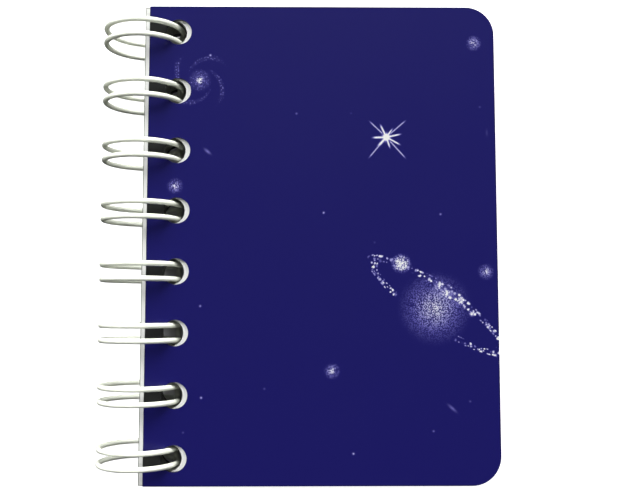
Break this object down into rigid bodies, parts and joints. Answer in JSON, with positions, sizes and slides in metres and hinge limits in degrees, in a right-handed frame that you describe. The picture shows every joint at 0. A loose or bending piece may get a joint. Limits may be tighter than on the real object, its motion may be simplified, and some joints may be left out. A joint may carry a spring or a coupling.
{
  "type": "pocket notebook",
  "caption": "Pocket-size notebook: stiff printed covers and ruled paper sheets that turn on a white twin-loop wire along the left edge.",
  "frame": {"origin": "under the middle of the part's outer box, level with the lowest point of the wire loops", "axes": "+X from the spine to the fore edge, +Y towards the head of the notebook, +Z out of the front cover"},
  "size_m": [0.0836, 0.1, 0.0174],
  "materials": {
    "cover_print": "dark blue print with white stars, under a thin gloss film",
    "back_print": "dark blue print with a few stars, under a thin gloss film",
    "cover_board": "solid black board, cut edges slightly fibrous",
    "cover_liner": "matte black paper",
    "paper": "matte uncoated writing paper",
    "wire": "white nylon-coated steel wire, semi-gloss"
  },
  "bodies": {
    "binding": {"twin_loop_wire": "wire"},
    "front_cover": {"front_cover_print": "cover_print", "front_cover_board": "cover_board", "front_cover_liner": "cover_liner"},
    "back_cover": {"back_cover_liner": "cover_liner", "back_cover_board": "cover_board", "back_cover_print": "back_print"},
    "sheet_01": {"sheet_01": "paper"},
    "sheet_02": {"sheet_02": "paper"},
    "sheet_03": {"sheet_03": "paper"},
    "sheet_04": {"sheet_04": "paper"},
    "sheet_05": {"sheet_05": "paper"},
    "sheet_06": {"sheet_06": "paper"},
    "sheet_07": {"sheet_07": "paper"},
    "sheet_08": {"sheet_08": "paper"},
    "sheet_09": {"sheet_09": "paper"},
    "sheet_10": {"sheet_10": "paper"},
    "sheet_11": {"sheet_11": "paper"},
    "sheet_12": {"sheet_12": "paper"},
    "sheet_13": {"sheet_13": "paper"},
    "sheet_14": {"sheet_14": "paper"},
    "sheet_15": {"sheet_15": "paper"},
    "sheet_16": {"sheet_16": "paper"},
    "sheet_17": {"sheet_17": "paper"},
    "sheet_18": {"sheet_18": "paper"},
    "sheet_19": {"sheet_19": "paper"},
    "sheet_20": {"sheet_20": "paper"},
    "sheet_21": {"sheet_21": "paper"},
    "sheet_22": {"sheet_22": "paper"},
    "sheet_23": {"sheet_23": "paper"},
    "sheet_24": {"sheet_24": "paper"},
    "sheet_25": {"sheet_25": "paper"},
    "sheet_26": {"sheet_26": "paper"},
    "sheet_27": {"sheet_27": "paper"},
    "sheet_28": {"sheet_28": "paper"},
    "sheet_29": {"sheet_29": "paper"},
    "sheet_30": {"sheet_30": "paper"},
    "sheet_31": {"sheet_31": "paper"},
    "sheet_32": {"sheet_32": "paper"},
    "sheet_33": {"sheet_33": "paper"},
    "sheet_34": {"sheet_34": "paper"},
    "sheet_35": {"sheet_35": "paper"},
    "sheet_36": {"sheet_36": "paper"},
    "sheet_37": {"sheet_37": "paper"},
    "sheet_38": {"sheet_38": "paper"},
    "sheet_39": {"sheet_39": "paper"},
    "sheet_40": {"sheet_40": "paper"},
    "sheet_41": {"sheet_41": "paper"},
    "sheet_42": {"sheet_42": "paper"},
    "sheet_43": {"sheet_43": "paper"},
    "sheet_44": {"sheet_44": "paper"},
    "sheet_45": {"sheet_45": "paper"},
    "sheet_46": {"sheet_46": "paper"},
    "sheet_47": {"sheet_47": "paper"},
    "sheet_48": {"sheet_48": "paper"},
    "sheet_49": {"sheet_49": "paper"},
    "sheet_50": {"sheet_50": "paper"}
  },
  "joints": [
    {"name": "sheet_26_turn", "type": "hinge", "parent": "binding", "child": "sheet_26", "pos_m": [-0.03308, 0, 0.0087], "axis": [0, 1, 0], "range_deg": [-180, 0]},
    {"name": "sheet_27_turn", "type": "hinge", "parent": "binding", "child": "sheet_27", "pos_m": [-0.03308, 0, 0.0087], "axis": [0, 1, 0], "range_deg": [-180, 0]},
    {"name": "sheet_28_turn", "type": "hinge", "parent": "binding", "child": "sheet_28", "pos_m": [-0.03308, 0, 0.0087], "axis": [0, 1, 0], "range_deg": [-180, 0]},
    {"name": "sheet_29_turn", "type": "hinge", "parent": "binding", "child": "sheet_29", "pos_m": [-0.03308, 0, 0.0087], "axis": [0, 1, 0], "range_deg": [-180, 0]},
    {"name": "sheet_30_turn", "type": "hinge", "parent": "binding", "child": "sheet_30", "pos_m": [-0.03308, 0, 0.0087], "axis": [0, 1, 0], "range_deg": [-180, 0]},
    {"name": "sheet_31_turn", "type": "hinge", "parent": "binding", "child": "sheet_31", "pos_m": [-0.03308, 0, 0.0087], "axis": [0, 1, 0], "range_deg": [-180, 0]},
    {"name": "sheet_32_turn", "type": "hinge", "parent": "binding", "child": "sheet_32", "pos_m": [-0.03308, 0, 0.0087], "axis": [0, 1, 0], "range_deg": [-180, 0]},
    {"name": "sheet_33_turn", "type": "hinge", "parent": "binding", "child": "sheet_33", "pos_m": [-0.03308, 0, 0.0087], "axis": [0, 1, 0], "range_deg": [-180, 0]},
    {"name": "sheet_34_turn", "type": "hinge", "parent": "binding", "child": "sheet_34", "pos_m": [-0.03308, 0, 0.0087], "axis": [0, 1, 0], "range_deg": [-180, 0]},
    {"name": "sheet_35_turn", "type": "hinge", "parent": "binding", "child": "sheet_35", "pos_m": [-0.03308, 0, 0.0087], "axis": [0, 1, 0], "range_deg": [-180, 0]},
    {"name": "sheet_36_turn", "type": "hinge", "parent": "binding", "child": "sheet_36", "pos_m": [-0.03308, 0, 0.0087], "axis": [0, 1, 0], "range_deg": [-180, 0]},
    {"name": "sheet_37_turn", "type": "hinge", "parent": "binding", "child": "sheet_37", "pos_m": [-0.03308, 0, 0.0087], "axis": [0, 1, 0], "range_deg": [-180, 0]},
    {"name": "sheet_38_turn", "type": "hinge", "parent": "binding", "child": "sheet_38", "pos_m": [-0.03308, 0, 0.0087], "axis": [0, 1, 0], "range_deg": [-180, 0]},
    {"name": "sheet_39_turn", "type": "hinge", "parent": "binding", "child": "sheet_39", "pos_m": [-0.03308, 0, 0.0087], "axis": [0, 1, 0], "range_deg": [-180, 0]},
    {"name": "sheet_40_turn", "type": "hinge", "parent": "binding", "child": "sheet_40", "pos_m": [-0.03308, 0, 0.0087], "axis": [0, 1, 0], "range_deg": [-180, 0]},
    {"name": "sheet_41_turn", "type": "hinge", "parent": "binding", "child": "sheet_41", "pos_m": [-0.03308, 0, 0.0087], "axis": [0, 1, 0], "range_deg": [-180, 0]},
    {"name": "sheet_42_turn", "type": "hinge", "parent": "binding", "child": "sheet_42", "pos_m": [-0.03308, 0, 0.0087], "axis": [0, 1, 0], "range_deg": [-180, 0]},
    {"name": "sheet_43_turn", "type": "hinge", "parent": "binding", "child": "sheet_43", "pos_m": [-0.03308, 0, 0.0087], "axis": [0, 1, 0], "range_deg": [-180, 0]},
    {"name": "sheet_44_turn", "type": "hinge", "parent": "binding", "child": "sheet_44", "pos_m": [-0.03308, 0, 0.0087], "axis": [0, 1, 0], "range_deg": [-180, 0]},
    {"name": "sheet_45_turn", "type": "hinge", "parent": "binding", "child": "sheet_45", "pos_m": [-0.03308, 0, 0.0087], "axis": [0, 1, 0], "range_deg": [-180, 0]},
    {"name": "sheet_46_turn", "type": "hinge", "parent": "binding", "child": "sheet_46", "pos_m": [-0.03308, 0, 0.0087], "axis": [0, 1, 0], "range_deg": [-180, 0]},
    {"name": "sheet_47_turn", "type": "hinge", "parent": "binding", "child": "sheet_47", "pos_m": [-0.03308, 0, 0.0087], "axis": [0, 1, 0], "range_deg": [-180, 0]},
    {"name": "sheet_48_turn", "type": "hinge", "parent": "binding", "child": "sheet_48", "pos_m": [-0.03308, 0, 0.0087], "axis": [0, 1, 0], "range_deg": [-180, 0]},
    {"name": "sheet_49_turn", "type": "hinge", "parent": "binding", "child": "sheet_49", "pos_m": [-0.03308, 0, 0.0087], "axis": [0, 1, 0], "range_deg": [-180, 0]},
    {"name": "sheet_50_turn", "type": "hinge", "parent": "binding", "child": "sheet_50", "pos_m": [-0.03308, 0, 0.0087], "axis": [0, 1, 0], "range_deg": [-180, 0]},
    {"name": "sheet_01_turn", "type": "hinge", "parent": "sheet_26", "child": "sheet_01", "pos_m": [-0.03308, 0, 0.0087], "axis": [0, -1, 0], "range_deg": [0, 180]},
    {"name": "sheet_02_turn", "type": "hinge", "parent": "sheet_26", "child": "sheet_02", "pos_m": [-0.03308, 0, 0.0087], "axis": [0, -1, 0], "range_deg": [0, 180]},
    {"name": "sheet_03_turn", "type": "hinge", "parent": "sheet_26", "child": "sheet_03", "pos_m": [-0.03308, 0, 0.0087], "axis": [0, -1, 0], "range_deg": [0, 180]},
    {"name": "sheet_04_turn", "type": "hinge", "parent": "sheet_26", "child": "sheet_04", "pos_m": [-0.03308, 0, 0.0087], "axis": [0, -1, 0], "range_deg": [0, 180]},
    {"name": "sheet_05_turn", "type": "hinge", "parent": "sheet_26", "child": "sheet_05", "pos_m": [-0.03308, 0, 0.0087], "axis": [0, -1, 0], "range_deg": [0, 180]},
    {"name": "sheet_06_turn", "type": "hinge", "parent": "sheet_26", "child": "sheet_06", "pos_m": [-0.03308, 0, 0.0087], "axis": [0, -1, 0], "range_deg": [0, 180]},
    {"name": "sheet_07_turn", "type": "hinge", "parent": "sheet_26", "child": "sheet_07", "pos_m": [-0.03308, 0, 0.0087], "axis": [0, -1, 0], "range_deg": [0, 180]},
    {"name": "sheet_08_turn", "type": "hinge", "parent": "sheet_26", "child": "sheet_08", "pos_m": [-0.03308, 0, 0.0087], "axis": [0, -1, 0], "range_deg": [0, 180]},
    {"name": "sheet_09_turn", "type": "hinge", "parent": "sheet_26", "child": "sheet_09", "pos_m": [-0.03308, 0, 0.0087], "axis": [0, -1, 0], "range_deg": [0, 180]},
    {"name": "sheet_10_turn", "type": "hinge", "parent": "sheet_26", "child": "sheet_10", "pos_m": [-0.03308, 0, 0.0087], "axis": [0, -1, 0], "range_deg": [0, 180]},
    {"name": "sheet_11_turn", "type": "hinge", "parent": "sheet_26", "child": "sheet_11", "pos_m": [-0.03308, 0, 0.0087], "axis": [0, -1, 0], "range_deg": [0, 180]},
    {"name": "sheet_12_turn", "type": "hinge", "parent": "sheet_26", "child": "sheet_12", "pos_m": [-0.03308, 0, 0.0087], "axis": [0, -1, 0], "range_deg": [0, 180]},
    {"name": "sheet_13_turn", "type": "hinge", "parent": "sheet_26", "child": "sheet_13", "pos_m": [-0.03308, 0, 0.0087], "axis": [0, -1, 0], "range_deg": [0, 180]},
    {"name": "sheet_14_turn", "type": "hinge", "parent": "sheet_26", "child": "sheet_14", "pos_m": [-0.03308, 0, 0.0087], "axis": [0, -1, 0], "range_deg": [0, 180]},
    {"name": "sheet_15_turn", "type": "hinge", "parent": "sheet_26", "child": "sheet_15", "pos_m": [-0.03308, 0, 0.0087], "axis": [0, -1, 0], "range_deg": [0, 180]},
    {"name": "sheet_16_turn", "type": "hinge", "parent": "sheet_26", "child": "sheet_16", "pos_m": [-0.03308, 0, 0.0087], "axis": [0, -1, 0], "range_deg": [0, 180]},
    {"name": "sheet_17_turn", "type": "hinge", "parent": "sheet_26", "child": "sheet_17", "pos_m": [-0.03308, 0, 0.0087], "axis": [0, -1, 0], "range_deg": [0, 180]},
    {"name": "sheet_18_turn", "type": "hinge", "parent": "sheet_26", "child": "sheet_18", "pos_m": [-0.03308, 0, 0.0087], "axis": [0, -1, 0], "range_deg": [0, 180]},
    {"name": "sheet_19_turn", "type": "hinge", "parent": "sheet_26", "child": "sheet_19", "pos_m": [-0.03308, 0, 0.0087], "axis": [0, -1, 0], "range_deg": [0, 180]},
    {"name": "sheet_20_turn", "type": "hinge", "parent": "sheet_26", "child": "sheet_20", "pos_m": [-0.03308, 0, 0.0087], "axis": [0, -1, 0], "range_deg": [0, 180]},
    {"name": "sheet_21_turn", "type": "hinge", "parent": "sheet_26", "child": "sheet_21", "pos_m": [-0.03308, 0, 0.0087], "axis": [0, -1, 0], "range_deg": [0, 180]},
    {"name": "sheet_22_turn", "type": "hinge", "parent": "sheet_26", "child": "sheet_22", "pos_m": [-0.03308, 0, 0.0087], "axis": [0, -1, 0], "range_deg": [0, 180]},
    {"name": "sheet_23_turn", "type": "hinge", "parent": "sheet_26", "child": "sheet_23", "pos_m": [-0.03308, 0, 0.0087], "axis": [0, -1, 0], "range_deg": [0, 180]},
    {"name": "sheet_24_turn", "type": "hinge", "parent": "sheet_26", "child": "sheet_24", "pos_m": [-0.03308, 0, 0.0087], "axis": [0, -1, 0], "range_deg": [0, 180]},
    {"name": "sheet_25_turn", "type": "hinge", "parent": "sheet_26", "child": "sheet_25", "pos_m": [-0.03308, 0, 0.0087], "axis": [0, -1, 0], "range_deg": [0, 180]},
    {"name": "front_cover_turn", "type": "hinge", "parent": "sheet_01", "child": "front_cover", "pos_m": [-0.03308, 0, 0.0087], "axis": [0, 1, 0], "range_deg": [-180, 0]},
    {"name": "back_cover_turn", "type": "hinge", "parent": "binding", "child": "back_cover", "pos_m": [-0.03308, 0, 0.0087], "axis": [0, -1, 0], "range_deg": [-180, 0]}
  ],
  "couplings": [
    {"joint": "sheet_27_turn", "follows": "sheet_26_turn", "ratio": 1},
    {"joint": "sheet_28_turn", "follows": "sheet_26_turn", "ratio": 1},
    {"joint": "sheet_29_turn", "follows": "sheet_26_turn", "ratio": 1},
    {"joint": "sheet_30_turn", "follows": "sheet_26_turn", "ratio": 1},
    {"joint": "sheet_31_turn", "follows": "sheet_26_turn", "ratio": 1},
    {"joint": "sheet_32_turn", "follows": "sheet_26_turn", "ratio": 1},
    {"joint": "sheet_33_turn", "follows": "sheet_26_turn", "ratio": 1},
    {"joint": "sheet_34_turn", "follows": "sheet_26_turn", "ratio": 1},
    {"joint": "sheet_35_turn", "follows": "sheet_26_turn", "ratio": 1},
    {"joint": "sheet_36_turn", "follows": "sheet_26_turn", "ratio": 1},
    {"joint": "sheet_37_turn", "follows": "sheet_26_turn", "ratio": 1},
    {"joint": "sheet_38_turn", "follows": "sheet_26_turn", "ratio": 1},
    {"joint": "sheet_39_turn", "follows": "sheet_26_turn", "ratio": 1},
    {"joint": "sheet_40_turn", "follows": "sheet_26_turn", "ratio": 1},
    {"joint": "sheet_41_turn", "follows": "sheet_26_turn", "ratio": 1},
    {"joint": "sheet_42_turn", "follows": "sheet_26_turn", "ratio": 1},
    {"joint": "sheet_43_turn", "follows": "sheet_26_turn", "ratio": 1},
    {"joint": "sheet_44_turn", "follows": "sheet_26_turn", "ratio": 1},
    {"joint": "sheet_45_turn", "follows": "sheet_26_turn", "ratio": 1},
    {"joint": "sheet_46_turn", "follows": "sheet_26_turn", "ratio": 1},
    {"joint": "sheet_47_turn", "follows": "sheet_26_turn", "ratio": 1},
    {"joint": "sheet_48_turn", "follows": "sheet_26_turn", "ratio": 1},
    {"joint": "sheet_49_turn", "follows": "sheet_26_turn", "ratio": 1},
    {"joint": "sheet_50_turn", "follows": "sheet_26_turn", "ratio": 1},
    {"joint": "sheet_02_turn", "follows": "sheet_01_turn", "ratio": 0.9994},
    {"joint": "sheet_03_turn", "follows": "sheet_01_turn", "ratio": 0.9988},
    {"joint": "sheet_04_turn", "follows": "sheet_01_turn", "ratio": 0.9982},
    {"joint": "sheet_05_turn", "follows": "sheet_01_turn", "ratio": 0.9976},
    {"joint": "sheet_06_turn", "follows": "sheet_01_turn", "ratio": 0.997},
    {"joint": "sheet_07_turn", "follows": "sheet_01_turn", "ratio": 0.9964},
    {"joint": "sheet_08_turn", "follows": "sheet_01_turn", "ratio": 0.9958},
    {"joint": "sheet_09_turn", "follows": "sheet_01_turn", "ratio": 0.9952},
    {"joint": "sheet_10_turn", "follows": "sheet_01_turn", "ratio": 0.9946},
    {"joint": "sheet_11_turn", "follows": "sheet_01_turn", "ratio": 0.994},
    {"joint": "sheet_12_turn", "follows": "sheet_01_turn", "ratio": 0.9934},
    {"joint": "sheet_13_turn", "follows": "sheet_01_turn", "ratio": 0.9928},
    {"joint": "sheet_14_turn", "follows": "sheet_01_turn", "ratio": 0.9922},
    {"joint": "sheet_15_turn", "follows": "sheet_01_turn", "ratio": 0.9916},
    {"joint": "sheet_16_turn", "follows": "sheet_01_turn", "ratio": 0.991},
    {"joint": "sheet_17_turn", "follows": "sheet_01_turn", "ratio": 0.9904},
    {"joint": "sheet_18_turn", "follows": "sheet_01_turn", "ratio": 0.9898},
    {"joint": "sheet_19_turn", "follows": "sheet_01_turn", "ratio": 0.9892},
    {"joint": "sheet_20_turn", "follows": "sheet_01_turn", "ratio": 0.9886},
    {"joint": "sheet_21_turn", "follows": "sheet_01_turn", "ratio": 0.988},
    {"joint": "sheet_22_turn", "follows": "sheet_01_turn", "ratio": 0.9874},
    {"joint": "sheet_23_turn", "follows": "sheet_01_turn", "ratio": 0.9868},
    {"joint": "sheet_24_turn", "follows": "sheet_01_turn", "ratio": 0.9862},
    {"joint": "sheet_25_turn", "follows": "sheet_01_turn", "ratio": 0.9856}
  ]
}
